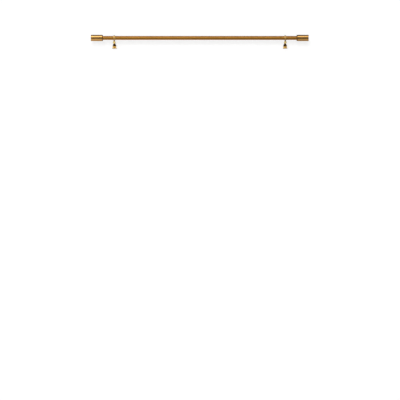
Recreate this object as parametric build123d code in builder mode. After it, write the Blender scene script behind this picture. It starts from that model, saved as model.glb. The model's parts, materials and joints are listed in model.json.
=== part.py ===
from build123d import *
import os

# Brass curtain rod on two ring brackets, in millimetres.
# +X runs along the rod, +Y goes into the wall and +Z is up. The origin lies on the wall plane,
# at the centre of the rectangle of four wall screw holes.

# Driving dimensions of the rod
OVERALL_LENGTH = 1400.0
ROD_DIAMETER = 25.0
ROD_WALL = 1.2
ROD_PROJECTION = 85.0
BRACKET_SPACING = 1100.0

# Driving dimensions of the end caps
CAP_DIAMETER = 40.0
CAP_LENGTH = 77.0
CAP_WALL = 2.2
CAP_END_WALL = 3.0
CAP_EDGE_RADIUS = 1.0
GROOVE_SETBACK = 1.6
GROOVE_WIDTH = 3.0
GROOVE_DEPTH = 1.0
SOCKET_DEPTH = 32.0
BUSH_SETBACK = 0.8
BUSH_LIP = 3.0

# Driving dimensions of the brackets
RING_WIDTH = 10.5
RING_WALL = 3.5
RING_FLOOR = 1.0
RING_EDGE_RADIUS = 1.4
ARM_ABOVE_SCREWS = 19.7
ARM_DROP = 28.2
ARM_DIAMETER = 11.0
ARM_FLARE_DIAMETER = 13.4
ARM_FLARE_LENGTH = 8.0
ARM_FLARE_RIM = 1.2
SPIGOT_HEIGHT = 0.8
NOSE_DIAMETER = 17.0
NOSE_BACK = 9.5
NOSE_FRONT = 10.0
NOSE_SLANT = 24.0
NOSE_CROWN = 120.0
NOSE_EDGE_RADIUS = 1.0
NECK_SEAT = 6.9
NECK_DIAMETER = 9.0
NECK_TOP_DIAMETER = 7.4
NECK_FLANGE = 1.0
NECK_WAIST = 2.0
PEG_DIAMETER = 4.5
PEG_DEPTH = 6.0
BOSS_DIAMETER = 14.6
PLATE_WIDTH = 22.8
PLATE_DROP = 37.3
PLATE_DEPTH = 9.0
PLATE_EDGE_RADIUS = 0.8
PLATE_FLOOR = 3.4
WAIST_WIDTH = 8.8
WAIST_DROP = 4.0
WAIST_RADIUS = 3.0
SHOULDER_DROP = 17.8
SHOULDER_RADIUS = 12.0
APRON_DROP = 22.7
APRON_RADIUS = 8.0
FOOT_WIDTH = 29.0
FOOT_DEPTH = 14.6
FOOT_HEIGHT = 3.0
FOOT_CORNER_RADIUS = 2.0
FOOT_EDGE_RADIUS = 1.2
FLARE_HEIGHT = 5.2
BOLT_WELL_DIAMETER = 10.4
BLOCK_DROP = 7.3
BLOCK_TOP_WIDTH = 8.0
BLOCK_WIDTH = 18.0
BLOCK_THICKNESS = 5.0
BLOCK_GROOVE = 1.0
HOOK = 1.6

# Driving dimensions of the fasteners
WALL_SCREW_SPACING = 15.0
WALL_SCREW_HOLE = 4.5
WALL_SCREW_HEAD = 7.4
SET_SCREW_DIAMETER = 5.0
SET_SCREW_POINT = 3.6
RING_SCREW_LENGTH = 5.0
CAP_SCREW_LENGTH = 7.0
LOCK_SCREW_DIAMETER = 4.0
LOCK_SCREW_POINT = 1.0
LOCK_SCREW_LENGTH = 5.2
LOCK_SCREW_BITE = 0.4
ARM_BOLT_DIAMETER = 5.0
ARM_BOLT_HEAD = 9.2
ARM_BOLT_LENGTH = 16.0
ARM_BOLT_SOCKET = 3.0
ARM_BOLT_SOCKET_DEPTH = 1.7

# Clearances: slip fits, threads, pieces that are fixed together, and the points of the set screws
SLIP = 0.2
THREAD = 0.05
SNUG = 0.03
POINT_GAP = 0.08

# Sizes worked out from the driving dimensions
ROD_RADIUS = ROD_DIAMETER / 2
CAP_RADIUS = CAP_DIAMETER / 2
MOUTH_X = OVERALL_LENGTH / 2 - CAP_LENGTH
CAP_SCREW_X = MOUTH_X + SOCKET_DEPTH / 2
TUBE_LENGTH = 2 * (MOUTH_X + SOCKET_DEPTH - SLIP)
ARM_Z = ARM_ABOVE_SCREWS
ROD_Y = -ROD_PROJECTION
ROD_Z = ARM_Z + ARM_DROP
RING_BORE = ROD_RADIUS + SLIP
RING_RADIUS = RING_BORE + RING_WALL
ARM_RADIUS = ARM_DIAMETER / 2
NOSE_RADIUS = NOSE_DIAMETER / 2
NECK_SEAT_Z = ARM_Z + NECK_SEAT
PEG_RADIUS = PEG_DIAMETER / 2
BOSS_RADIUS = BOSS_DIAMETER / 2
PLATE_TOP = ARM_Z + BOSS_RADIUS
PLATE_BOTTOM = ARM_Z - PLATE_DROP
WAIST_Z = ARM_Z - WAIST_DROP
SHOULDER_Z = ARM_Z - SHOULDER_DROP
APRON_TOP = ARM_Z - APRON_DROP
FOOT_TOP = PLATE_BOTTOM + FOOT_HEIGHT
FLARE_TOP = FOOT_TOP + FLARE_HEIGHT
POCKET_BOTTOM = PLATE_BOTTOM + PLATE_FLOOR
POCKET_DEPTH = BLOCK_THICKNESS + SLIP
BLOCK_TOP = ARM_Z - BLOCK_DROP
BLOCK_BOTTOM = POCKET_BOTTOM + HOOK + SLIP

SIDES = {"left": -1, "right": 1}
ROD_AXIS = Axis((0, ROD_Y, ROD_Z), (1, 0, 0))


def save(piece, name):
    """Labels a finished piece and writes it as its own node."""
    piece.label = name
    export_step(piece, f"parts/{name}.step")


def facing(origin, normal):
    """A plane at origin that faces along normal, its own x along the rod. Holes go in against normal."""
    return Plane(origin=origin, x_dir=(1, 0, 0), z_dir=normal)


def cap_section(side):
    """The plane of a cap's half section: from the mouth, its own x points to the end and its own y up."""
    return Plane(origin=(side * MOUTH_X, ROD_Y, ROD_Z), x_dir=(side, 0, 0), z_dir=(0, -side, 0))


def arm_section(x, y):
    """The plane of a half section along the arm: its own x points into the room and its own y up."""
    return Plane(origin=(x, y, ARM_Z), x_dir=(0, -1, 0), z_dir=(-1, 0, 0))


def plate_outline():
    """A backplate as the room sees it: a round boss about the arm, over a skirt with a flared foot."""
    half_width = PLATE_WIDTH / 2
    half_foot = FOOT_WIDTH / 2
    with BuildLine() as skirt:
        waist = Polyline((0, WAIST_Z), (WAIST_WIDTH / 2, WAIST_Z), (half_width, SHOULDER_Z))
        side = Line(waist @ 1, (half_width, FLARE_TOP))
        flare = TangentArc(side @ 1, (half_foot, FOOT_TOP), tangent=(0, -1))
        Polyline(flare @ 1, (half_foot, PLATE_BOTTOM), (0, PLATE_BOTTOM))
        mirror(about=Plane.YZ)
    make_face(skirt.edges())
    with Locations((0, ARM_Z)):
        Circle(BOSS_RADIUS)


def block_outline(room, bottom):
    """A mounting block as the room sees it, with room all round down to its bottom edge."""
    half_top = BLOCK_TOP_WIDTH / 2 + room
    half_width = BLOCK_WIDTH / 2 + room
    top = BLOCK_TOP + room
    shoulder = SHOULDER_Z + room
    with BuildLine() as outline:
        Polyline((0, top), (half_top, top), (half_width, shoulder), (half_width, bottom), (0, bottom))
        mirror(about=Plane.YZ)
    make_face(outline.edges())


def hooked(block):
    """Bevels a block's top edge at the wall, so that a backplate can hook over it."""
    wall_face = block.faces().sort_by(Axis.Y)[-1]
    chamfer(wall_face.edges().sort_by(Axis.Z)[-1], HOOK)


def build_tube():
    """The rod: one plain tube that ends inside both caps."""
    with BuildPart() as tube:
        with BuildSketch(Plane.YZ.offset(-TUBE_LENGTH / 2)):
            with Locations((ROD_Y, ROD_Z)):
                Circle(ROD_RADIUS)
                Circle(ROD_RADIUS - ROD_WALL, mode=Mode.SUBTRACT)
        extrude(amount=TUBE_LENGTH)
        rims = tube.edges().filter_by(GeomType.CIRCLE)
        chamfer(rims, ROD_WALL / 4)
    save(tube.part, "rod_tube")


def build_cap_shell(name, side):
    """The hollow cylinder of an end cap: closed at its outer end, grooved at its mouth, drilled below."""
    inner_radius = CAP_RADIUS - CAP_WALL
    corner = (Align.MIN, Align.MIN)
    with BuildPart() as shell:
        with BuildSketch(cap_section(side)):
            Rectangle(CAP_LENGTH, CAP_RADIUS, align=corner)
            Rectangle(CAP_LENGTH - CAP_END_WALL, inner_radius, align=corner, mode=Mode.SUBTRACT)
            with Locations((GROOVE_SETBACK, CAP_RADIUS - GROOVE_DEPTH)):
                Rectangle(GROOVE_WIDTH, GROOVE_DEPTH, align=corner, mode=Mode.SUBTRACT)
        revolve(axis=ROD_AXIS)
        rims = shell.edges().filter_by(GeomType.CIRCLE).group_by(SortBy.RADIUS)[-1]
        mouth, *groove_rims, end = rims.sort_by(Axis.X, reverse=side < 0)
        chamfer([mouth, *groove_rims], GROOVE_DEPTH / 4)
        fillet(end, CAP_EDGE_RADIUS)
        with Locations(facing((side * CAP_SCREW_X, ROD_Y, ROD_Z - CAP_RADIUS), (0, 0, -1))):
            Hole(SET_SCREW_DIAMETER / 2 + SLIP, depth=2 * CAP_WALL)
    save(shell.part, f"{name}_cap_shell")


def build_cap_bush(name, side):
    """The turned bush inside an end cap: a socket with a lip to stop the tube, tapped for the set screw."""
    outer_radius = CAP_RADIUS - CAP_WALL - SNUG
    socket_radius = ROD_RADIUS + SLIP
    lip_radius = ROD_RADIUS - 2 * ROD_WALL
    corner = (Align.MIN, Align.MIN)
    with BuildPart() as bush:
        with BuildSketch(cap_section(side)):
            with Locations((BUSH_SETBACK, 0)):
                Rectangle(SOCKET_DEPTH + BUSH_LIP - BUSH_SETBACK, outer_radius, align=corner)
            Rectangle(SOCKET_DEPTH, socket_radius, align=corner, mode=Mode.SUBTRACT)
            Rectangle(SOCKET_DEPTH + BUSH_LIP, lip_radius, align=corner, mode=Mode.SUBTRACT)
        revolve(axis=ROD_AXIS)
        mouth = bush.faces().sort_by(Axis.X)[0 if side > 0 else -1]
        chamfer(mouth.edges(), BUSH_SETBACK / 2)
        with Locations(facing((side * CAP_SCREW_X, ROD_Y, ROD_Z - CAP_RADIUS), (0, 0, -1))):
            Hole(SET_SCREW_DIAMETER / 2, depth=CAP_RADIUS - ROD_RADIUS)
    save(bush.part, f"{name}_cap_bush")


def build_set_screw(name, plane, diameter, length, point_diameter):
    """A socket set screw. Its point stands on the plane and its hexagon socket opens at the far end."""
    radius = diameter / 2 - THREAD
    socket_size = diameter / 2
    along = Axis(plane.origin, plane.z_dir)
    with BuildPart() as screw:
        with BuildSketch(plane):
            Circle(radius)
        extrude(amount=length)
        chamfer(screw.edges().sort_by(along)[0], radius - point_diameter / 2)
        chamfer(screw.edges().sort_by(along)[-1], socket_size / 8)
        with BuildSketch(plane.offset(length)):
            RegularPolygon(socket_size / 2, 6, major_radius=False)
        extrude(amount=-socket_size, mode=Mode.SUBTRACT)
    save(screw.part, name)


def build_ring(name, x):
    """The closed ring around the rod, drilled below for the neck and behind for the set screw."""
    with BuildPart() as ring:
        with BuildSketch(Plane.YZ.offset(x - RING_WIDTH / 2)):
            with Locations((ROD_Y, ROD_Z)):
                Circle(RING_RADIUS)
                Circle(RING_BORE, mode=Mode.SUBTRACT)
        extrude(amount=RING_WIDTH)
        rims = ring.edges().filter_by(GeomType.CIRCLE).group_by(SortBy.RADIUS)
        fillet(rims[-1], RING_EDGE_RADIUS)
        chamfer(rims[0], RING_EDGE_RADIUS / 4)
        with Locations(facing((x, ROD_Y, ROD_Z - RING_RADIUS), (0, 0, -1))):
            Hole(PEG_RADIUS + SNUG, depth=RING_WALL - RING_FLOOR)
        with Locations(facing((x, ROD_Y + RING_RADIUS, ROD_Z), (0, 1, 0))):
            Hole(SET_SCREW_DIAMETER / 2, depth=2 * RING_WALL)
    save(ring.part, f"{name}_ring")


def build_neck(name, x):
    """The turned neck between arm and ring, cut to a saddle under the ring and pegged at both ends."""
    foot_radius = NECK_DIAMETER / 2
    top_radius = NECK_TOP_DIAMETER / 2
    flange_top = NECK_SEAT_Z + NECK_FLANGE
    waist_top = flange_top + NECK_WAIST
    neck_top = ROD_Z - RING_BORE
    with BuildPart() as neck:
        with BuildSketch(facing((x, ROD_Y, 0), (0, -1, 0))):
            with BuildLine():
                flange = Polyline((0, NECK_SEAT_Z), (foot_radius, NECK_SEAT_Z), (foot_radius, flange_top))
                TangentArc((top_radius, waist_top), flange @ 1, tangent=(0, -1))
                Polyline((top_radius, waist_top), (top_radius, neck_top), (0, neck_top), flange @ 0)
            make_face()
        revolve(axis=Axis((x, ROD_Y, 0), (0, 0, 1)))
        with BuildSketch(Plane.YZ.offset(x - RING_WIDTH)):
            with Locations((ROD_Y, ROD_Z)):
                Circle(RING_RADIUS)
        extrude(amount=2 * RING_WIDTH, mode=Mode.SUBTRACT)
        with BuildSketch(Plane((x, ROD_Y, NECK_SEAT_Z - PEG_DEPTH))):
            Circle(PEG_RADIUS)
        extrude(amount=neck_top - RING_FLOOR - SLIP - NECK_SEAT_Z + PEG_DEPTH)
    save(neck.part, f"{name}_neck")


def build_arm(name, x):
    """The turned arm: a cove at the backplate, a shaft, and a slant-cut crowned nose bored for the neck."""
    rim_end = PLATE_DEPTH + ARM_FLARE_RIM
    shaft_start = PLATE_DEPTH + ARM_FLARE_LENGTH
    nose_start = ROD_PROJECTION - NOSE_BACK
    nose_end = ROD_PROJECTION + NOSE_FRONT + NOSE_RADIUS
    nose_face = Vector(x, ROD_Y - NOSE_FRONT, ARM_Z)
    face_normal = Vector(0, -1, 0).rotate(Axis.X, -NOSE_SLANT)
    flare_radius = ARM_FLARE_DIAMETER / 2
    spigot_radius = ARM_BOLT_HEAD / 2 - SNUG
    spigot_start = PLATE_DEPTH - SPIGOT_HEIGHT + SNUG
    with BuildPart() as arm:
        with BuildSketch(arm_section(x, 0)):
            with BuildLine():
                Line((nose_end, 0), (spigot_start, 0))
                Polyline((spigot_start, 0), (spigot_start, spigot_radius), (PLATE_DEPTH, spigot_radius))
                Polyline((PLATE_DEPTH, spigot_radius), (PLATE_DEPTH, flare_radius), (rim_end, flare_radius))
                TangentArc((shaft_start, ARM_RADIUS), (rim_end, flare_radius), tangent=(-1, 0))
                Line((shaft_start, ARM_RADIUS), (nose_start, ARM_RADIUS))
                Polyline((nose_start, ARM_RADIUS), (nose_start, NOSE_RADIUS), (nose_end, NOSE_RADIUS))
                Line((nose_end, NOSE_RADIUS), (nose_end, 0))
            make_face()
        revolve(axis=Axis((x, 0, ARM_Z), (0, 1, 0)))
        circles = arm.edges().filter_by(GeomType.CIRCLE)
        shoulder = circles.filter_by_position(Axis.Y, -nose_start - SLIP, -nose_start + SLIP)
        fillet(shoulder.sort_by(SortBy.RADIUS)[-1], NOSE_EDGE_RADIUS)
        with Locations(nose_face - face_normal * NOSE_CROWN):
            Sphere(NOSE_CROWN, mode=Mode.INTERSECT)
        fillet(arm.edges().sort_by(Axis.Y)[0], NOSE_EDGE_RADIUS)
        with BuildSketch(Plane((x, ROD_Y, NECK_SEAT_Z))):
            Circle(NECK_DIAMETER / 2 + SLIP)
        extrude(amount=NOSE_RADIUS, mode=Mode.SUBTRACT)
        with Locations(facing((x, ROD_Y, NECK_SEAT_Z), (0, 0, 1))):
            Hole(PEG_RADIUS + SNUG, depth=PEG_DEPTH + SLIP)
        with Locations(facing((x, -spigot_start, ARM_Z), (0, 1, 0))):
            Hole(ARM_BOLT_DIAMETER / 2, depth=ARM_BOLT_LENGTH)
    save(arm.part, f"{name}_arm")


def build_backplate(name, x):
    """The cast wall plate: a boss for the arm, over a hollow skirt that leans out to a flared foot."""
    wall = facing((x, 0, 0), (0, -1, 0))
    with BuildPart() as pocket:
        with BuildSketch(wall):
            block_outline(SLIP, POCKET_BOTTOM)
        extrude(amount=POCKET_DEPTH)
        hooked(pocket)
    with BuildPart() as plate:
        with BuildSketch(wall) as outline:
            plate_outline()
            waist = outline.vertices().filter_by_position(Axis.Y, ARM_Z - BOSS_RADIUS, WAIST_Z)
            fillet(waist, WAIST_RADIUS)
            shoulders = outline.vertices().filter_by_position(Axis.Y, SHOULDER_Z - SLIP, SHOULDER_Z + SLIP)
            fillet(shoulders, SHOULDER_RADIUS)
        extrude(amount=FOOT_DEPTH)
        with BuildSketch(Plane.YZ.offset(x - FOOT_WIDTH)) as profile:
            with BuildLine():
                front = Polyline((0, PLATE_TOP), (-PLATE_DEPTH, PLATE_TOP), (-PLATE_DEPTH, APRON_TOP))
                foot = Polyline(front @ 1, (-FOOT_DEPTH, FOOT_TOP), (-FOOT_DEPTH, PLATE_BOTTOM))
                Polyline(foot @ 1, (0, PLATE_BOTTOM), front @ 0)
            make_face()
            fillet(profile.vertices().sort_by_distance(front @ 1)[0], APRON_RADIUS)
        extrude(amount=2 * FOOT_WIDTH, mode=Mode.INTERSECT)
        upright = plate.edges().filter_by(Axis.Z)
        corners = upright.filter_by_position(Axis.Y, -FOOT_DEPTH - SLIP, -FOOT_DEPTH + SLIP)
        fillet(corners, FOOT_CORNER_RADIUS)
        edges = plate.edges().filter_by(Axis.X, reverse=True)
        edges = edges.filter_by_position(Axis.Y, -FOOT_DEPTH, -PLATE_DEPTH + SLIP)
        fillet(edges.filter_by_position(Axis.Z, FOOT_TOP + SLIP, PLATE_TOP + SLIP), PLATE_EDGE_RADIUS)
        base = plate.faces().sort_by(Axis.Z)[0]
        fillet(base.edges().filter_by_position(Axis.Y, -FOOT_DEPTH, -SLIP), FOOT_EDGE_RADIUS)
        add(pocket.part, mode=Mode.SUBTRACT)
        with Locations(facing((x, 0, ARM_Z), (0, 1, 0))):
            Hole(BOLT_WELL_DIAMETER / 2, depth=POCKET_DEPTH)
        with Locations(facing((x, -POCKET_DEPTH, ARM_Z), (0, 1, 0))):
            CounterSinkHole(ARM_BOLT_DIAMETER / 2 + SLIP, ARM_BOLT_HEAD / 2 + SNUG, depth=PLATE_DEPTH)
        with Locations(facing((x, -PLATE_DEPTH, ARM_Z), (0, -1, 0))):
            Hole(ARM_BOLT_HEAD / 2, depth=SPIGOT_HEIGHT)
        with Locations(facing((x, -BLOCK_THICKNESS / 2, PLATE_BOTTOM), (0, 0, -1))):
            Hole(LOCK_SCREW_DIAMETER / 2, depth=PLATE_FLOOR + SLIP)
    save(plate.part, f"{name}_backplate")


def build_mounting_block(name, x):
    """The hidden block on the wall: hooked above, with two screw holes and a groove for the lock screw."""
    groove_side = BLOCK_GROOVE * 2**0.5
    with BuildPart() as block:
        with BuildSketch(facing((x, 0, 0), (0, -1, 0))):
            block_outline(0, BLOCK_BOTTOM)
        extrude(amount=BLOCK_THICKNESS)
        hooked(block)
        for z in (-WALL_SCREW_SPACING / 2, WALL_SCREW_SPACING / 2):
            with Locations(facing((x, -BLOCK_THICKNESS, z), (0, -1, 0))):
                CounterSinkHole(WALL_SCREW_HOLE / 2, WALL_SCREW_HEAD / 2, depth=BLOCK_THICKNESS)
        with BuildSketch(Plane.YZ.offset(x - PLATE_WIDTH)):
            with Locations((-BLOCK_THICKNESS / 2, BLOCK_BOTTOM)):
                Rectangle(groove_side, groove_side, rotation=45)
        extrude(amount=2 * PLATE_WIDTH, mode=Mode.SUBTRACT)
    save(block.part, f"{name}_mounting_block")


def build_arm_bolt(name, x):
    """The countersunk bolt that draws the arm against the backplate from inside the pocket."""
    shank_radius = ARM_BOLT_DIAMETER / 2 - THREAD
    head_radius = ARM_BOLT_HEAD / 2 - SNUG
    head_height = head_radius - shank_radius
    with BuildPart() as bolt:
        with BuildSketch(arm_section(x, -POCKET_DEPTH)):
            with BuildLine():
                head = Polyline((0, 0), (0, head_radius), (head_height, shank_radius))
                Polyline(head @ 1, (ARM_BOLT_LENGTH, shank_radius), (ARM_BOLT_LENGTH, 0), head @ 0)
            make_face()
        revolve(axis=Axis((x, 0, ARM_Z), (0, 1, 0)))
        with BuildSketch(facing((x, -POCKET_DEPTH, ARM_Z), (0, -1, 0))):
            RegularPolygon(ARM_BOLT_SOCKET / 2, 6, major_radius=False)
        extrude(amount=ARM_BOLT_SOCKET_DEPTH, mode=Mode.SUBTRACT)
    save(bolt.part, f"{name}_arm_bolt")


def build_bracket(name, side):
    """One bracket: ring, neck, arm, backplate, mounting block and their fasteners."""
    x = side * BRACKET_SPACING / 2
    build_ring(name, x)
    build_neck(name, x)
    build_arm(name, x)
    build_arm_bolt(name, x)
    build_backplate(name, x)
    build_mounting_block(name, x)
    back = facing((x, ROD_Y + ROD_RADIUS + POINT_GAP, ROD_Z), (0, 1, 0))
    build_set_screw(f"{name}_ring_set_screw", back, SET_SCREW_DIAMETER, RING_SCREW_LENGTH, SET_SCREW_POINT)
    groove = facing((x, -BLOCK_THICKNESS / 2, BLOCK_BOTTOM + LOCK_SCREW_BITE), (0, 0, -1))
    build_set_screw(f"{name}_lock_screw", groove, LOCK_SCREW_DIAMETER, LOCK_SCREW_LENGTH, LOCK_SCREW_POINT)


def build_cap(name, side):
    """One end cap: its shell, its bush and the set screw that grips the tube from below."""
    build_cap_shell(name, side)
    build_cap_bush(name, side)
    below = facing((side * CAP_SCREW_X, ROD_Y, ROD_Z - ROD_RADIUS - POINT_GAP), (0, 0, -1))
    build_set_screw(f"{name}_cap_set_screw", below, SET_SCREW_DIAMETER, CAP_SCREW_LENGTH, SET_SCREW_POINT)


os.makedirs("parts", exist_ok=True)
build_tube()
for side_name, side_sign in SIDES.items():
    build_bracket(side_name, side_sign)
    build_cap(side_name, side_sign)
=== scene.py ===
import json
import math

import bmesh
import bpy
from bpy.props import FloatProperty, FloatVectorProperty, IntProperty, PointerProperty
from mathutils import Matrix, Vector

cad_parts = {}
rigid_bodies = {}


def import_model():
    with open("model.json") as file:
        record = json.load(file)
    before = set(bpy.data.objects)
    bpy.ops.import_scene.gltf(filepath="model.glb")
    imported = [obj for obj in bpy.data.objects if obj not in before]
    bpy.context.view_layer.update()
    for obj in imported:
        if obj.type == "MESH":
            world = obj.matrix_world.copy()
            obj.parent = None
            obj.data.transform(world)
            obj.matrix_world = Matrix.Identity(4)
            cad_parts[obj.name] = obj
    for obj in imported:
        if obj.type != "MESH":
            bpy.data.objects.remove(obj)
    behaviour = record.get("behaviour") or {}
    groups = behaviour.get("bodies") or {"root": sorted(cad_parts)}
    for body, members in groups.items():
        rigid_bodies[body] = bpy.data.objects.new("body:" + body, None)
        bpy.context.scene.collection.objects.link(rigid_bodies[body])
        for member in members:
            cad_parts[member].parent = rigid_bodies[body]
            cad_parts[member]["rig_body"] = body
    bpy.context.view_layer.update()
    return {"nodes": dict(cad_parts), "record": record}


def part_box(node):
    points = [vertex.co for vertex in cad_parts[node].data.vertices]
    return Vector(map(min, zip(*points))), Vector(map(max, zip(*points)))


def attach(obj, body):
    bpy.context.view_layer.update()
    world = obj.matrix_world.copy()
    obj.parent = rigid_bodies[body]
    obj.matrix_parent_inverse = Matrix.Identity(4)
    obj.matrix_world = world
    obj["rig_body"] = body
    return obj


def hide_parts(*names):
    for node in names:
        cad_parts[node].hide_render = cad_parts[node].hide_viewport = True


bl_info = {
    "name": "Brass Curtain Rod",
    "version": (1, 0, 0),
    "blender": (4, 5, 0),
    "location": "View3D > Sidebar > Curtain Rod",
    "description": "Finishes a brass curtain rod on two ring brackets and sets it on a studio wall",
    "category": "Object",
}

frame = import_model()

MM = 0.001
SIDES = ("left", "right")
UP = Vector((0.0, 0.0, 1.0))
DOWN = Vector((0.0, 0.0, -1.0))
BACK = Vector((0.0, 1.0, 0.0))
WHITE = (1.0, 1.0, 1.0, 1.0)
MOUNTS = {mount["name"]: mount for mount in frame["record"]["mounts"]}


def middle(node):
    """The centre of a piece's box."""
    low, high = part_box(node)
    return (low + high) / 2


def span(node):
    """The size of a piece's box."""
    low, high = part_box(node)
    return high - low


# Places and sizes read from the frame, in metres
ROD_CENTRE = Vector(MOUNTS["curtain_run"]["pos_m"])
ROD_RADIUS = MOUNTS["curtain_run"]["dims"]["r_mm"] * MM
ROD_LENGTH = span("rod_tube").x
CAP_RADIUS = span("right_cap_shell").z / 2
CAP_LENGTH = span("right_cap_shell").x
RING_WIDTH = span("right_ring").x
RING_RADIUS = span("right_ring").y / 2
ARM_Z = middle("right_arm").z
PLATE_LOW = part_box("right_backplate")[0]

# Places that no piece's box gives, in metres
GROOVE_FROM_MOUTH = 3.1 * MM
NECK_SEAT_Z = ARM_Z + 6.9 * MM
SHOULDER_Y = ROD_CENTRE.y + 9.5 * MM
APRON_Z = PLATE_LOW.z + 15.4 * MM

# What a lathe and a brush leave in the metal, and the clear coat over it
TOOL_MARK_DEPTH = 0.006 * MM
BRUSH_DEPTH = 0.02 * MM
LACQUER = 0.15
THIN_LACQUER = 0.05

# The stage, in metres, degrees and shares of white
ROOM_HALF = 9.0
WALL_Y = 0.3 * MM
WALL_TOP = 6.0
FLOOR_REACH = 9.0
PAPER_WHITE = 0.86
PAPER_GLOW_SHARE = 0.7
WALL_GLOW = 1.03
FLOOR_GLOW = 1.25
CARD_Y = -1.0 * MM
SOFTBOX_SIZE = (5.0, 3.5)
SOFTBOX_ELEVATION = 57.0
SOFTBOX_REACH = 4.6
SOFTBOX_LEFT = 1.5
WASH_FROM = Vector((-0.25, -2.6, 0.75))
WASH_SPREAD = 20.0
WASH_STRENGTH = 1.9
WORLD_DIMMING = 0.55


class RodSizes(bpy.types.PropertyGroup):
    """Sizes that the looks add to the frame."""

    tube_wall: FloatProperty(
        name="Tube wall",
        description="Thickness of the rod's tube",
        default=1.2 * MM,
        unit="LENGTH",
    )
    tube_sides: IntProperty(
        name="Tube sides",
        description="Flats around the rod's tube",
        default=144,
        min=24,
    )
    coarse_pitch: FloatProperty(
        name="Set screw pitch",
        description="Thread pitch of the screws that grip the rod",
        default=0.8 * MM,
        unit="LENGTH",
    )
    fine_pitch: FloatProperty(
        name="Lock screw pitch",
        description="Thread pitch of the screws under the backplates",
        default=0.7 * MM,
        unit="LENGTH",
    )
    grip_point: FloatProperty(
        name="Set screw point",
        description="Radius of the flat point of the screws that grip the rod",
        default=1.8 * MM,
        unit="LENGTH",
    )
    lock_point: FloatProperty(
        name="Lock screw point",
        description="Radius of the blunt tip of the screws under the backplates",
        default=0.5 * MM,
        unit="LENGTH",
    )


class BrassColours(bpy.types.PropertyGroup):
    """Colours and gloss of the finishes."""

    rod: FloatVectorProperty(
        name="Rod",
        description="Brushed brass of the rod",
        subtype="COLOR",
        default=(0.60, 0.272, 0.05),
        min=0.0,
        max=1.0,
    )
    caps: FloatVectorProperty(
        name="Caps",
        description="Polished brass of the end caps",
        subtype="COLOR",
        default=(0.78, 0.43, 0.13),
        min=0.0,
        max=1.0,
    )
    brackets: FloatVectorProperty(
        name="Brackets",
        description="Brass of the necks, arms and backplates",
        subtype="COLOR",
        default=(0.74, 0.48, 0.15),
        min=0.0,
        max=1.0,
    )
    rings: FloatVectorProperty(
        name="Rings",
        description="Satin brass of the rings around the rod",
        subtype="COLOR",
        default=(0.86, 0.54, 0.18),
        min=0.0,
        max=1.0,
    )
    # Painted highlight: this dimmer, paler brass on the arms' noses stands in for the look of their softbox
    # reflection
    painted_nose_highlight: FloatVectorProperty(
        name="Dulled brass",
        description="Pale film on the noses of the arms, where hands reach",
        subtype="COLOR",
        default=(0.38, 0.30, 0.11),
        min=0.0,
        max=1.0,
    )
    # This brown is tarnished metal in hollows, and also painted shade: the finishes lay it on the caps'
    # grooves and lips, the necks and the backplates' skirts, where shadow falls
    patina_and_painted_shade: FloatVectorProperty(
        name="Patina",
        description="Brown tarnish that stays where a cloth can't reach",
        subtype="COLOR",
        default=(0.12, 0.040, 0.005),
        min=0.0,
        max=1.0,
    )
    steel: FloatVectorProperty(
        name="Screws",
        description="Blackened steel of the screws and the arm bolts",
        subtype="COLOR",
        default=(0.055, 0.052, 0.05),
        min=0.0,
        max=1.0,
    )
    zinc: FloatVectorProperty(
        name="Mounting blocks",
        description="Zinc plate of the blocks on the wall",
        subtype="COLOR",
        default=(0.48, 0.49, 0.50),
        min=0.0,
        max=1.0,
    )
    rod_roughness: FloatProperty(
        name="Rod roughness",
        description="How far the brushing spreads a reflection",
        subtype="FACTOR",
        default=0.36,
        min=0.0,
        max=1.0,
    )
    satin_roughness: FloatProperty(
        name="Satin roughness",
        description="How far the rings and backplates spread a reflection",
        subtype="FACTOR",
        default=0.30,
        min=0.0,
        max=1.0,
    )
    polish_roughness: FloatProperty(
        name="Polish roughness",
        description="How far the caps, necks and arms spread a reflection",
        subtype="FACTOR",
        default=0.19,
        min=0.0,
        max=1.0,
    )


class StudioSettings(bpy.types.PropertyGroup):
    """The floor, the light and the camera."""

    camera_distance: FloatProperty(
        name="Camera distance",
        description="From the rod's axis to the camera",
        default=30.0,
        unit="LENGTH",
    )
    view_width: FloatProperty(
        name="View width",
        description="What the picture spans at the rod",
        default=2.572,
        unit="LENGTH",
    )
    rod_above_centre: FloatProperty(
        name="Rod above centre",
        description="Height of the rod's axis above the middle of the picture",
        default=1.042,
        unit="LENGTH",
    )
    camera_right: FloatProperty(
        name="Camera right",
        description="How far the camera stands to the right of the rod's middle",
        default=1.6 * MM,
        unit="LENGTH",
    )
    floor_drop: FloatProperty(
        name="Floor drop",
        description="From the rod's axis down to the floor",
        default=2.45,
        unit="LENGTH",
    )
    softbox_glow: FloatProperty(
        name="Softbox glow",
        description="Brightness of the softbox as the metal shows it, where 1 is white",
        default=1.0,
        min=0.0,
    )
    right_dimming: FloatProperty(
        name="Right dimming",
        description="Share of their glow that the grey cards keep at the rod's right end",
        subtype="FACTOR",
        default=0.72,
        min=0.0,
        max=1.0,
    )


class Value:
    """An output of a node. In a sum it stands for its number, and each operator adds one Math node."""

    def __init__(self, work, socket):
        self.work = work
        self.socket = socket

    def out(self, key):
        """Another output of the same node, by its name or number."""
        return Value(self.work, self.socket.node.outputs[key])

    def __add__(self, other):
        return self.work.math("ADD", self, other)

    __radd__ = __add__

    def __mul__(self, other):
        return self.work.math("MULTIPLY", self, other)

    __rmul__ = __mul__

    def __sub__(self, other):
        return self.work.math("SUBTRACT", self, other)

    def __rsub__(self, other):
        return self.work.math("SUBTRACT", other, self)

    def __abs__(self):
        return self.work.math("ABSOLUTE", self)


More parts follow.
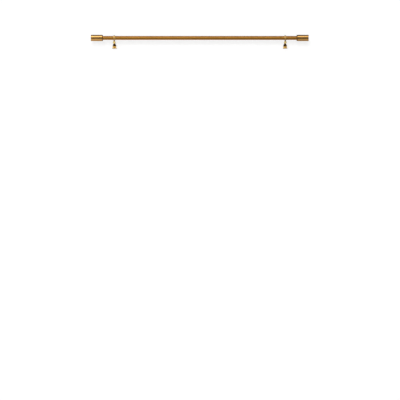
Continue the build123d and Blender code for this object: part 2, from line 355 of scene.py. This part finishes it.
class NodeWork:
    """Adds nodes to a material or a world."""

    def __init__(self, owner):
        owner.use_nodes = True
        self.nodes = owner.node_tree.nodes
        self.links = owner.node_tree.links

    def feed(self, socket, value):
        """Links a value to a socket, or sets the socket to a plain number or colour."""
        if isinstance(value, Value):
            self.links.new(value.socket, socket)
        else:
            socket.default_value = value

    def node(self, kind, settings=None, sockets=None):
        """Adds a node: its settings are set first, then its sockets. Returns its first output."""
        node = self.nodes.new(kind)
        for name, setting in (settings or {}).items():
            setattr(node, name, setting)
        for key, value in (sockets or {}).items():
            self.feed(node.inputs[key], value)
        return Value(self, node.outputs[0])

    def math(self, operation, *values):
        """Adds a Math node."""
        return self.node("ShaderNodeMath", {"operation": operation}, dict(enumerate(values)))


class Finish(NodeWork):
    """A material in the making."""

    def __init__(self, name):
        self.material = bpy.data.materials.new(name)
        super().__init__(self.material)
        self.shader = self.nodes["Principled BSDF"]

    def coat(self, **sockets):
        """Sets or links sockets of the shader. An underscore in a name stands for a space."""
        for name, value in sockets.items():
            self.feed(self.shader.inputs[name.replace("_", " ")], value)

    def show(self, shader):
        """Shows another shader in place of the usual one."""
        self.feed(self.nodes["Material Output"].inputs["Surface"], shader)

    def vector(self, x, y, z):
        """Three values as one vector."""
        return self.node("ShaderNodeCombineXYZ", sockets={"X": x, "Y": y, "Z": z})

    def noise(self, vector, detail=2.0):
        """Smooth noise from 0 to 1, one grain to a unit of the vector."""
        sockets = {"Vector": vector, "Scale": 1.0, "Detail": detail}
        return self.node("ShaderNodeTexNoise", sockets=sockets)

    def fade(self, value, start, end):
        """0 at start and 1 at end, with a smooth slope between."""
        sockets = {"Value": value, "From Min": start, "From Max": end}
        return self.node("ShaderNodeMapRange", {"interpolation_type": "SMOOTHSTEP"}, sockets)

    def mix(self, factor, first, second):
        """A colour between two others."""
        sockets = {0: factor, 6: first, 7: second}
        return self.node("ShaderNodeMix", {"data_type": "RGBA"}, sockets).out(2)

    def most(self, *masks):
        """The strongest of the masks at each point."""
        strongest = masks[0]
        for mask in masks[1:]:
            strongest = self.math("MAXIMUM", strongest, mask)
        return strongest

    def distance(self, *offsets):
        """The length of the offsets taken together."""
        squares = [offset * offset for offset in offsets]
        return self.math("SQRT", sum(squares[1:], squares[0]))

    def relief(self, height, depth):
        """A bump of that depth in metres, for the Normal socket."""
        return self.node("ShaderNodeBump", sockets={"Height": height, "Distance": depth, "Strength": 1.0})


class PlacedFinish(Finish):
    """A finish that changes from place to place. It knows the point as x, y and z, in the frame's metres."""

    def __init__(self, name):
        super().__init__(name)
        point = self.node("ShaderNodeTexCoord").out("Object")
        split = self.node("ShaderNodeSeparateXYZ", sockets={0: point})
        self.x, self.y, self.z = (split.out(axis) for axis in "XYZ")

    def grain(self, x, y, z, detail=2.0):
        """Noise with that many grains to a metre along each axis."""
        return self.noise(self.vector(self.x * x, self.y * y, self.z * z), detail)


def opaque(colour, shade=1.0):
    """A colour with full alpha, darkened or lightened by shade."""
    return (*(min(1.0, part * shade) for part in colour), 1.0)


class BrassFinish(PlacedFinish):
    """Lacquered brass: a tone that drifts, tool marks, tarnished corners and painted shade, bright rubbed
    edges and painted highlights.
    """

    # Grains to a metre, and the levels of the noise between which a mask fades in
    tone_grain = (35.0, 35.0, 35.0)
    smudge_grain = (90.0, 60.0, 60.0)
    smudge_levels = (0.52, 0.75)
    mark_levels = (0.35, 0.75)

    # Shares of the brass colour
    dark_tone = 0.84
    light_tone = 1.12
    mark_shade = 0.7
    mark_strength = 0.35
    wear_and_painted_highlight_shade = 1.25

    # What each mask adds to the roughness or takes off it
    mark_roughness = 0.16
    smudge_roughness = 0.07
    tarnish_and_painted_shade_roughness = 0.12
    rubbed_polish = 0.05

    edge_tint = (0.78, 0.48, 0.15, 1.0)
    lacquer_roughness = 0.12
    lacquer_ior = 1.45

    def __init__(self, name, colour, roughness, lacquer=LACQUER):
        super().__init__(name)
        self.colour = colour
        self.roughness = roughness
        self.coat(Metallic=1.0, Specular_Tint=self.edge_tint)
        self.coat(Coat_Weight=lacquer, Coat_Roughness=self.lacquer_roughness, Coat_IOR=self.lacquer_ior)

    def turned(self, along, radius, marks_per_metre):
        """Rings that a lathe tool leaves: they change along the axis and with the radius only."""
        return self.noise(self.vector(along * marks_per_metre, radius * marks_per_metre, 0.0), 3.0)

    def lay(self, marks, mark_depth, tarnish_and_painted_shade=0.0, rubbed=0.0, painted_nose_highlight=0.0, matt=0.0):
        """Puts the finish together from its masks. What is matt is added to the roughness."""
        colours = bpy.context.scene.brass_colours
        tone = self.grain(*self.tone_grain, 4.0)
        smudge = self.fade(self.grain(*self.smudge_grain), *self.smudge_levels)
        marked = self.fade(marks, *self.mark_levels) * self.mark_strength
        base = self.mix(tone, opaque(self.colour, self.dark_tone), opaque(self.colour, self.light_tone))
        base = self.mix(marked, base, opaque(self.colour, self.mark_shade))
        # Painted highlight: the nose mask lays a dimmer, paler brass where the arms' noses catch the softbox
        base = self.mix(painted_nose_highlight, base, opaque(colours.painted_nose_highlight))
        # Darkens towards the brown: tarnished metal on some pieces, painted shade on others
        base = self.mix(tarnish_and_painted_shade, base, opaque(colours.patina_and_painted_shade))
        # Lightens the brass: wear on the rod, caps and rings, and a painted highlight on the backplates'
        # aprons
        base = self.mix(rubbed, base, opaque(self.colour, self.wear_and_painted_highlight_shade))
        rough = self.roughness + matt + tarnish_and_painted_shade * self.tarnish_and_painted_shade_roughness - rubbed * self.rubbed_polish
        rough = rough + (marks - 0.5) * self.mark_roughness + smudge * self.smudge_roughness
        self.coat(Base_Color=base, Roughness=rough, Normal=self.relief(marks, mark_depth))
        return self.material


def rod_finish():
    """Brushed along the rod, with a line rubbed bright along the top."""
    colours = bpy.context.scene.brass_colours
    finish = BrassFinish("rod_brushed_brass", colours.rod, colours.rod_roughness, THIN_LACQUER)
    broad = finish.grain(9.0, 700.0, 700.0)
    hairlines = finish.fade(finish.grain(22.0, 2600.0, 2600.0, 4.0), 0.3, 0.7)
    on_top = finish.fade(finish.z, ROD_CENTRE.z + 0.86 * ROD_RADIUS, ROD_CENTRE.z + ROD_RADIUS)
    brushing = broad * 0.4 + hairlines * 0.6
    return finish.lay(brushing, BRUSH_DEPTH, rubbed=on_top * broad * 0.6)


def cap_finish(side):
    """Turned and polished, with painted shade in its groove and on its lip, darker in its mouth and around
    its screw hole, bright on its outer edge.
    """
    colours = bpy.context.scene.brass_colours
    finish = BrassFinish(f"{side}_cap_polished_brass", colours.caps, colours.polish_roughness)
    cap = middle(f"{side}_cap_shell")
    screw = middle(f"{side}_cap_set_screw")
    from_mouth = abs(finish.x) - (abs(cap.x) - CAP_LENGTH / 2)
    radius = finish.distance(finish.y - cap.y, finish.z - cap.z)
    depth = CAP_RADIUS - radius
    to_screw = finish.distance(finish.x - screw.x, finish.y - screw.y)
    below = finish.fade(finish.z, cap.z, cap.z - CAP_RADIUS / 2)
    around_screw = finish.fade(to_screw, 5.0 * MM, 2.6 * MM) * below
    inside = finish.fade(depth, 1.6 * MM, 3.0 * MM)
    in_mouth = finish.fade(from_mouth, 0.6 * CAP_LENGTH, 0.0) * inside
    # Painted shade: a dark lip and a near-black groove stand in for the shadow line at the cap's mouth
    painted_lip_shade = finish.fade(from_mouth, 2.4 * MM, 1.4 * MM)
    under_skin = finish.fade(depth, 0.15 * MM, 0.6 * MM)
    painted_groove_shade = finish.fade(abs(from_mouth - GROOVE_FROM_MOUTH), 1.9 * MM, 1.3 * MM) * under_skin
    at_end = finish.fade(from_mouth, CAP_LENGTH - 1.3 * MM, CAP_LENGTH - 0.3 * MM)
    at_rim = finish.fade(depth, 1.4 * MM, 0.3 * MM)
    tarnish_and_painted_shade = finish.most(around_screw * 0.7, in_mouth * 0.75, painted_lip_shade * 0.6, painted_groove_shade * 0.97)
    marks = finish.turned(finish.x, radius, 1500.0)
    return finish.lay(marks, TOOL_MARK_DEPTH, tarnish_and_painted_shade, at_end * at_rim * 0.6)


def ring_finish(side):
    """Turned about the rod and left satin, darker where the neck meets it, bright on its edges."""
    colours = bpy.context.scene.brass_colours
    finish = BrassFinish(f"{side}_ring_satin_brass", colours.rings, colours.satin_roughness)
    ring = middle(f"{side}_ring")
    radius = finish.distance(finish.y - ring.y, finish.z - ring.z)
    from_edge = RING_WIDTH / 2 - abs(finish.x - ring.x)
    to_neck = finish.distance(finish.x - ring.x, finish.y - ring.y)
    below = finish.fade(finish.z, ring.z, ring.z - RING_RADIUS)
    at_neck = finish.fade(to_neck, 5.6 * MM, 3.4 * MM) * below
    at_edge = finish.fade(from_edge, 1.4 * MM, 0.2 * MM)
    at_rim = finish.fade(RING_RADIUS - radius, 2.0 * MM, 0.6 * MM)
    marks = finish.turned(finish.x, radius, 1800.0)
    return finish.lay(marks, TOOL_MARK_DEPTH, at_neck * 0.8, at_edge * at_rim * 0.5, matt=0.1)


def neck_finish(side):
    """Turned about its own upright axis, with painted shade all over and most where it meets the ring."""
    colours = bpy.context.scene.brass_colours
    finish = BrassFinish(f"{side}_neck_polished_brass", colours.brackets, colours.polish_roughness)
    neck = middle(f"{side}_neck")
    radius = finish.distance(finish.x - neck.x, finish.y - neck.y)
    ring_low = ROD_CENTRE.z - RING_RADIUS
    at_ring = finish.fade(finish.z, ring_low - 1.2 * MM, ring_low + 0.6 * MM)
    marks = finish.turned(finish.z, radius, 2200.0)
    # Painted shade: the whole neck is darkened, and more just under the ring
    return finish.lay(marks, TOOL_MARK_DEPTH, 0.7 + at_ring * 0.2)


def arm_finish(side):
    """Turned about its own axis, darker in its corners and below the neck, with a painted highlight on its
    nose.
    """
    colours = bpy.context.scene.brass_colours
    finish = BrassFinish(f"{side}_arm_polished_brass", colours.brackets, colours.polish_roughness)
    arm = middle(f"{side}_arm")
    radius = finish.distance(finish.x - arm.x, finish.z - ARM_Z)
    to_neck = finish.distance(finish.x - arm.x, finish.z - NECK_SEAT_Z)
    at_plate = finish.fade(finish.y, PLATE_LOW.y + 2.6 * MM, PLATE_LOW.y + 5.0 * MM)
    on_shaft = finish.fade(radius, 6.8 * MM, 5.8 * MM)
    at_shoulder = finish.fade(abs(finish.y - SHOULDER_Y), 1.6 * MM, 0.2 * MM) * on_shaft
    on_nose = finish.fade(finish.y, ROD_CENTRE.y - 4.0 * MM, ROD_CENTRE.y - 6.0 * MM)
    below_neck = finish.fade(to_neck, 8.5 * MM, 3.0 * MM) * on_nose
    lower_edge = finish.fade(finish.z, ARM_Z - 2.5 * MM, ARM_Z - 7.0 * MM)
    tarnish_and_painted_shade = finish.most(at_plate * 0.45, at_shoulder * 0.6, below_neck * 0.45)
    # Painted highlight: a dimmer, paler brass over the nose stands in for its softbox reflection, with less
    # of it on the lower edge, which shows brighter
    painted_nose_highlight = on_nose * (0.9 - lower_edge * 0.7)
    marks = finish.turned(finish.y, radius, 1600.0)
    return finish.lay(marks, TOOL_MARK_DEPTH, tarnish_and_painted_shade, painted_nose_highlight=painted_nose_highlight)


def plate_finish(side):
    """Cast and polished upright, with painted shade on its skirt under the arm, darker around the arm, and a
    painted highlight on its apron and foot.
    """
    colours = bpy.context.scene.brass_colours
    name = f"{side}_plate_satin_brass"
    finish = BrassFinish(name, colours.brackets, colours.satin_roughness, THIN_LACQUER)
    plate = middle(f"{side}_backplate")
    to_arm = finish.distance(finish.x - plate.x, finish.z - ARM_Z)
    around_arm = finish.fade(to_arm, 8.6 * MM, 6.8 * MM)
    cloud = finish.grain(160.0, 160.0, 160.0, 3.0)
    apron_edge = APRON_Z + (cloud - 0.5) * (4.0 * MM)
    on_apron = finish.fade(finish.z - apron_edge, 2.0 * MM, -2.0 * MM)
    below_arm = finish.fade(finish.z, ARM_Z - 7.5 * MM, ARM_Z - 10.5 * MM)
    # Painted shade: the skirt under the arm is darkened almost to the brown
    painted_skirt_shade = (1.0 - on_apron) * below_arm
    tarnish_and_painted_shade = finish.most(around_arm * 0.4, painted_skirt_shade * 0.92)
    streaks = finish.grain(1500.0, 1500.0, 60.0)
    # Painted highlight: the apron and foot get the lightened brass
    return finish.lay(streaks, TOOL_MARK_DEPTH, tarnish_and_painted_shade, on_apron * 0.8, matt=on_apron * 0.15)


def screw_finish():
    """Blackened steel, grey where a key and the thread have rubbed it."""
    colours = bpy.context.scene.brass_colours
    finish = PlacedFinish("screw_blackened_steel")
    bloom = finish.grain(900.0, 900.0, 900.0, 4.0)
    rubbed = finish.fade(bloom, 0.55, 0.75)
    base = finish.mix(rubbed, opaque(colours.steel), opaque(colours.steel, 4.5))
    bloom_depth = 0.004 * MM
    finish.coat(Metallic=1.0, Base_Color=base, Roughness=0.46 - rubbed * 0.14)
    finish.coat(Normal=finish.relief(bloom, bloom_depth))
    return finish.material


def block_finish():
    """Zinc plate with its clouded crystals and the yellowed marks of the sawn edge."""
    colours = bpy.context.scene.brass_colours
    finish = PlacedFinish("block_zinc_plate")
    cloud = finish.grain(240.0, 240.0, 240.0, 4.0)
    saw_lines = finish.grain(2400.0, 300.0, 160.0)
    yellowed = (0.42, 0.40, 0.30, 1.0)
    saw_depth = 0.008 * MM
    base = finish.mix(cloud, opaque(colours.zinc, 0.72), opaque(colours.zinc, 1.2))
    base = finish.mix(finish.fade(saw_lines, 0.5, 0.8) * 0.3, base, yellowed)
    finish.coat(Metallic=1.0, Base_Color=base, Roughness=0.34 + cloud * 0.16)
    finish.coat(Normal=finish.relief(saw_lines, saw_depth))
    return finish.material


def dress(node, material):
    """Gives a carried-over piece its finish."""
    for slot in frame["nodes"][node].material_slots:
        slot.material = material


def add_object(name, data):
    """Puts a mesh, a lamp or a camera into the scene."""
    item = bpy.data.objects.new(name, data)
    bpy.context.scene.collection.objects.link(item)
    return item


def as_mesh(name, bm, material):
    """Turns a bmesh into a mesh of that material."""
    mesh = bpy.data.meshes.new(name)
    bm.to_mesh(mesh)
    bm.free()
    mesh.materials.append(material)
    return mesh


def new_piece(name, bm, material):
    """Makes a finished mesh into an object that sits at the origin, with smooth faces and crisp edges."""
    crease_angle = math.radians(32.0)
    bmesh.ops.remove_doubles(bm, verts=bm.verts, dist=0.0005 * MM)
    bmesh.ops.recalc_face_normals(bm, faces=bm.faces)
    mesh = as_mesh(name, bm, material)
    mesh.polygons.foreach_set("use_smooth", [True] * len(mesh.polygons))
    mesh.set_sharp_from_angle(angle=crease_angle)
    return add_object(name, mesh)


def stand_for(piece, node):
    """The piece takes a node's place and rides on its body."""
    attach(piece, frame["nodes"][node]["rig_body"])
    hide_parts(node)


def tube_mesh(length, radius, wall, sides):
    """A tube along X about the origin: its wall's section, with broken corners, spun once round."""
    end = length / 2
    break_size = wall / 4
    outer, inner = radius, radius - wall
    section = [
        (-end, inner + break_size),
        (-end, outer - break_size),
        (-end + break_size, outer),
        (end - break_size, outer),
        (end, outer - break_size),
        (end, inner + break_size),
        (end - break_size, inner),
        (-end + break_size, inner),
    ]
    bm = bmesh.new()
    corners = [bm.verts.new((along, 0.0, out)) for along, out in section]
    rim = [bm.edges.new(pair) for pair in zip(corners, corners[1:] + corners[:1])]
    bmesh.ops.spin(
        bm,
        geom=corners + rim,
        cent=(0.0, 0.0, 0.0),
        axis=(1.0, 0.0, 0.0),
        angle=2 * math.pi,
        steps=sides,
        use_merge=True,
        use_duplicate=False,
    )
    return bm


def thread_mesh(length, radius, pitch, point_radius):
    """A set screw along +Z, point at the origin: a spun thread, cut off square, with a hexagon socket."""
    turn_steps = 28
    turns = math.ceil(length / pitch) + 2
    thread_depth = 0.6 * pitch
    crest = 0.16 * pitch
    root = radius - thread_depth
    ridge = [
        (root, 0.0),
        (radius, (pitch - crest) / 2),
        (radius, (pitch + crest) / 2),
        (root, pitch),
    ]
    bm = bmesh.new()
    corners = [bm.verts.new((out, 0.0, up - pitch)) for out, up in ridge]
    flanks = [bm.edges.new(pair) for pair in zip(corners, corners[1:])]
    bmesh.ops.spin(
        bm,
        geom=corners + flanks,
        cent=(0.0, 0.0, 0.0),
        axis=(0.0, 0.0, 1.0),
        dvec=(0.0, 0.0, pitch / turn_steps),
        angle=2 * math.pi * turns,
        steps=turn_steps * turns,
        use_merge=False,
        use_duplicate=False,
    )
    bmesh.ops.remove_doubles(bm, verts=bm.verts, dist=0.002 * MM)
    for height, outward in ((0.0, DOWN), (length, UP)):
        bmesh.ops.bisect_plane(
            bm,
            geom=bm.verts[:] + bm.edges[:] + bm.faces[:],
            dist=0.0001 * MM,
            plane_co=(0.0, 0.0, height),
            plane_no=outward,
            clear_outer=True,
        )
    chamfer_ends(bm, length, point_radius, radius - thread_depth / 2)
    rims = [edge for edge in bm.edges if edge.is_boundary]
    point_rim = [edge for edge in rims if edge.verts[0].co.z < length / 2]
    socket_rim = [edge for edge in rims if edge.verts[0].co.z > length / 2]
    bmesh.ops.edgeloop_fill(bm, edges=point_rim)
    cut_socket(bm, socket_rim, length, radius)
    return bm


def chamfer_ends(bm, length, point_radius, socket_radius):
    """Turns both ends of the thread down to those radii, at 45 degrees."""
    for vert in bm.verts:
        reach = min(point_radius + vert.co.z, socket_radius + length - vert.co.z)
        out = vert.co.xy.length
        if out > reach:
            vert.co.xy *= reach / out


def cut_socket(bm, rim, height, radius):
    """Closes the screw's upper end with a face around a hexagon socket."""
    corner_radius = 0.58 * radius
    socket_depth = radius
    ring = bmesh.ops.create_circle(bm, segments=6, radius=corner_radius)["verts"]
    bmesh.ops.translate(bm, verts=ring, vec=UP * height)
    mouth = list({edge for vert in ring for edge in vert.link_edges})
    bmesh.ops.bridge_loops(bm, edges=rim + mouth)
    walls = bmesh.ops.extrude_edge_only(bm, edges=mouth)["geom"]
    floor = [item for item in walls if isinstance(item, bmesh.types.BMVert)]
    bmesh.ops.translate(bm, verts=floor, vec=DOWN * socket_depth)
    floor_edges = [edge for edge in bm.edges if edge.verts[0] in floor and edge.verts[1] in floor]
    bmesh.ops.edgeloop_fill(bm, edges=floor_edges)


class CURTAIN_OT_rod(bpy.types.Operator):
    """Makes the rod's tube, brushed along its length"""

    bl_idname = "curtain.rod"
    bl_label = "Rod"

    def execute(self, context):
        sizes = context.scene.rod_sizes
        bm = tube_mesh(ROD_LENGTH, ROD_RADIUS, sizes.tube_wall, sizes.tube_sides)
        bmesh.ops.translate(bm, verts=bm.verts, vec=ROD_CENTRE)
        tube = new_piece("rod_brushed_tube", bm, rod_finish())
        stand_for(tube, "rod_tube")
        return {"FINISHED"}


class CURTAIN_OT_caps(bpy.types.Operator):
    """Polishes the end caps and their bushes"""

    bl_idname = "curtain.caps"
    bl_label = "End caps"

    def execute(self, context):
        for side in SIDES:
            material = cap_finish(side)
            dress(f"{side}_cap_shell", material)
            dress(f"{side}_cap_bush", material)
        return {"FINISHED"}


class CURTAIN_OT_brackets(bpy.types.Operator):
    """Finishes the rings, necks, arms and backplates"""

    bl_idname = "curtain.brackets"
    bl_label = "Brackets"

    def execute(self, context):
        for side in SIDES:
            dress(f"{side}_ring", ring_finish(side))
            dress(f"{side}_neck", neck_finish(side))
            dress(f"{side}_arm", arm_finish(side))
            dress(f"{side}_backplate", plate_finish(side))
        return {"FINISHED"}


class CURTAIN_OT_mounting_blocks(bpy.types.Operator):
    """Plates the mounting blocks on the wall"""

    bl_idname = "curtain.mounting_blocks"
    bl_label = "Mounting blocks"

    def execute(self, context):
        zinc = block_finish()
        for side in SIDES:
            dress(f"{side}_mounting_block", zinc)
        return {"FINISHED"}


class CURTAIN_OT_screws(bpy.types.Operator):
    """Makes the threaded screws of the rings, caps and backplates, and blackens the arm bolts"""

    bl_idname = "curtain.screws"
    bl_label = "Screws"

    def execute(self, context):
        sizes = context.scene.rod_sizes
        steel = screw_finish()
        for side in SIDES:
            dress(f"{side}_arm_bolt", steel)
            self.thread(f"{side}_ring_set_screw", BACK, sizes.coarse_pitch, sizes.grip_point, steel)
            self.thread(f"{side}_cap_set_screw", DOWN, sizes.coarse_pitch, sizes.grip_point, steel)
            self.thread(f"{side}_lock_screw", DOWN, sizes.fine_pitch, sizes.lock_point, steel)
        return {"FINISHED"}

    def thread(self, node, outward, pitch, point_radius, material):
        """Makes one screw in a node's place. Its socket looks outward."""
        size = span(node)
        length = abs(size.dot(outward))
        radius = size.x / 2
        bm = thread_mesh(length, radius, pitch, point_radius)
        turn = UP.rotation_difference(outward).to_matrix()
        bmesh.ops.rotate(bm, verts=bm.verts, cent=(0.0, 0.0, 0.0), matrix=turn)
        bmesh.ops.translate(bm, verts=bm.verts, vec=middle(node) - outward * length / 2)
        screw = new_piece(f"{node}_threaded", bm, material)
        stand_for(screw, node)


def around_rod(elevation, reach):
    """The place at that elevation in degrees and that reach from the rod, in the plane across the rod."""
    angle = math.radians(elevation)
    return ROD_CENTRE + reach * Vector((0.0, -math.cos(angle), math.sin(angle)))


def paper(name, glow):
    """White paper: it glows evenly to the eye and in reflections, takes shadows, and its back is clear."""
    finish = Finish(name)
    rays = finish.node("ShaderNodeLightPath")
    seen = rays.out("Is Camera Ray") + rays.out("Is Glossy Ray") + rays.out("Is Transmission Ray")
    shown = finish.math("MINIMUM", seen, 1.0)
    matt = finish.node("ShaderNodeBsdfDiffuse", sockets={"Color": opaque(WHITE[:3], PAPER_WHITE)})
    light = finish.node("ShaderNodeEmission", sockets={"Color": WHITE, "Strength": glow})
    front = finish.node("ShaderNodeMixShader", sockets={0: shown * PAPER_GLOW_SHARE, 1: matt, 2: light})
    clear = finish.node("ShaderNodeBsdfTransparent")
    behind = finish.node("ShaderNodeNewGeometry").out("Backfacing")
    finish.show(finish.node("ShaderNodeMixShader", sockets={0: behind, 1: front, 2: clear}))
    return finish.material


def grey(name, level, right_level):
    """A grey that shows the same under any light, and goes to another level at the rod's right end."""
    finish = PlacedFinish(name)
    to_right = finish.fade(finish.x, -ROD_LENGTH / 2, ROD_LENGTH / 2)
    shade = finish.mix(to_right, opaque(WHITE[:3], level), opaque(WHITE[:3], right_level))
    finish.show(finish.node("ShaderNodeEmission", sockets={"Color": shade, "Strength": 1.0}))
    return finish.material


def card(name, start, end, material):
    """A flat sheet of the stage, as wide as the room, from one place to another."""
    sideways = Vector((ROOM_HALF, 0.0, 0.0))
    corners = [start - sideways, start + sideways, end + sideways, end - sideways]
    bm = bmesh.new()
    bm.faces.new([bm.verts.new(corner) for corner in corners])
    sheet = add_object(name, as_mesh(name, bm, material))
    return sheet


class CURTAIN_OT_stage(bpy.types.Operator):
    """Sets up the wall, the floor, the light and the camera"""

    bl_idname = "curtain.stage"
    bl_label = "Stage"

    def execute(self, context):
        settings = context.scene.studio_settings
        self.set_paper(settings)
        self.set_grey_cards(settings)
        self.set_lamps(settings)
        self.set_world(context.scene)
        self.set_camera(context.scene, settings)
        context.scene.view_settings.view_transform = "Standard"
        return {"FINISHED"}

    def set_paper(self, settings):
        """The wall behind the brackets and the floor below it."""
        floor_z = ROD_CENTRE.z - settings.floor_drop
        corner = Vector((0.0, WALL_Y, floor_z))
        wall_top = Vector((0.0, WALL_Y, WALL_TOP))
        floor_front = Vector((0.0, -FLOOR_REACH, floor_z))
        card("stage_wall", corner, wall_top, paper("stage_wall_paper", WALL_GLOW))
        card("stage_floor", floor_front, corner, paper("stage_floor_paper", FLOOR_GLOW))

    def set_grey_cards(self, settings):
        """Grey cards that only the metal sees, which give the reflections their dark bands."""
        camera_top = around_rod(elevation=28.0, reach=6.0)
        camera_foot = around_rod(elevation=-4.0, reach=6.0)
        floor_edge = around_rod(elevation=-34.0, reach=3.6)
        top_edge = around_rod(elevation=77.0, reach=3.2)
        overhead = Vector((0.0, CARD_Y, ROD_CENTRE.z + 3.2))
        level = Vector((0.0, CARD_Y, ROD_CENTRE.z))
        underneath = Vector((0.0, CARD_Y, ROD_CENTRE.z - 2.35))
        cards = {
            "stage_camera_card": (0.20, camera_top, camera_foot),
            "stage_low_card": (0.17, camera_foot, floor_edge),
            "stage_floor_card": (0.70, floor_edge, underneath),
            "stage_top_card": (0.15, top_edge, overhead),
            "stage_high_wall_card": (0.12, overhead, level),
            "stage_low_wall_card": (0.55, level, underneath),
        }
        for name, (shade, start, end) in cards.items():
            sheet = card(name, start, end, grey(f"{name}_grey", shade, shade * settings.right_dimming))
            sheet.visible_camera = False
            sheet.visible_diffuse = False
            sheet.visible_shadow = False

    def set_lamps(self, settings):
        """A wide softbox above the camera, and a wash that throws the shadow on the wall."""
        softbox = bpy.data.lights.new("softbox", "AREA")
        softbox.shape = "RECTANGLE"
        softbox.size, softbox.size_y = SOFTBOX_SIZE
        softbox.energy = settings.softbox_glow * math.pi * softbox.size * softbox.size_y
        above_camera = around_rod(SOFTBOX_ELEVATION, SOFTBOX_REACH)
        self.hang(softbox, above_camera - Vector((SOFTBOX_LEFT, 0.0, 0.0)))
        wash = bpy.data.lights.new("wall_wash", "SUN")
        wash.angle = math.radians(WASH_SPREAD)
        wash.energy = WASH_STRENGTH
        self.hang(wash, ROD_CENTRE + WASH_FROM).visible_glossy = False

    def hang(self, light, place):
        """Puts a lamp at a place, aimed at the rod."""
        lamp = add_object(light.name, light)
        lamp.location = place
        lamp.rotation_euler = (ROD_CENTRE - place).to_track_quat("-Z", "Y").to_euler()
        return lamp

    def set_world(self, scene):
        """A white room, which lights dull surfaces less than it shows in the metal."""
        scene.world = bpy.data.worlds.new("white_room")
        work = NodeWork(scene.world)
        room = work.nodes["Background"].inputs
        diffuse = work.node("ShaderNodeLightPath").out("Is Diffuse Ray")
        work.feed(room["Color"], WHITE)
        work.feed(room["Strength"], 1.0 - diffuse * WORLD_DIMMING)

    def set_camera(self, scene, settings):
        """A level camera in front of the wall, low enough that the rod is near the top of the picture."""
        lens = bpy.data.cameras.new("camera")
        lens.sensor_fit = "HORIZONTAL"
        lens.angle = 2 * math.atan(settings.view_width / 2 / settings.camera_distance)
        camera = add_object("camera", lens)
        offset = Vector((settings.camera_right, -settings.camera_distance, -settings.rod_above_centre))
        camera.location = ROD_CENTRE + offset
        camera.rotation_euler = (math.radians(90.0), 0.0, 0.0)
        scene.camera = camera


OPERATORS = (
    CURTAIN_OT_rod,
    CURTAIN_OT_caps,
    CURTAIN_OT_brackets,
    CURTAIN_OT_mounting_blocks,
    CURTAIN_OT_screws,
    CURTAIN_OT_stage,
)
SETTINGS = {"rod_sizes": RodSizes, "brass_colours": BrassColours, "studio_settings": StudioSettings}


class CURTAIN_PT_sidebar(bpy.types.Panel):
    """Lists the pieces and the settings in the 3D view's sidebar"""

    bl_idname = "CURTAIN_PT_sidebar"
    bl_label = "Curtain Rod"
    bl_space_type = "VIEW_3D"
    bl_region_type = "UI"
    bl_category = "Curtain Rod"

    def draw(self, context):
        for name, group in SETTINGS.items():
            box = self.layout.box()
            for setting in group.__annotations__:
                box.prop(getattr(context.scene, name), setting)
        for operator in OPERATORS:
            self.layout.operator(operator.bl_idname)


CLASSES = (*SETTINGS.values(), *OPERATORS, CURTAIN_PT_sidebar)


def register():
    """Registers the classes and hangs the settings on the scene."""
    for item in CLASSES:
        bpy.utils.register_class(item)
    for name, group in SETTINGS.items():
        setattr(bpy.types.Scene, name, PointerProperty(type=group))


def unregister():
    """Takes the settings and the classes away again."""
    for name in SETTINGS:
        delattr(bpy.types.Scene, name)
    for item in reversed(CLASSES):
        bpy.utils.unregister_class(item)


def main():
    """Makes every piece and the stage."""
    register()
    bpy.ops.curtain.rod()
    bpy.ops.curtain.caps()
    bpy.ops.curtain.brackets()
    bpy.ops.curtain.mounting_blocks()
    bpy.ops.curtain.screws()
    bpy.ops.curtain.stage()


if __name__ == "__main__":
    main()
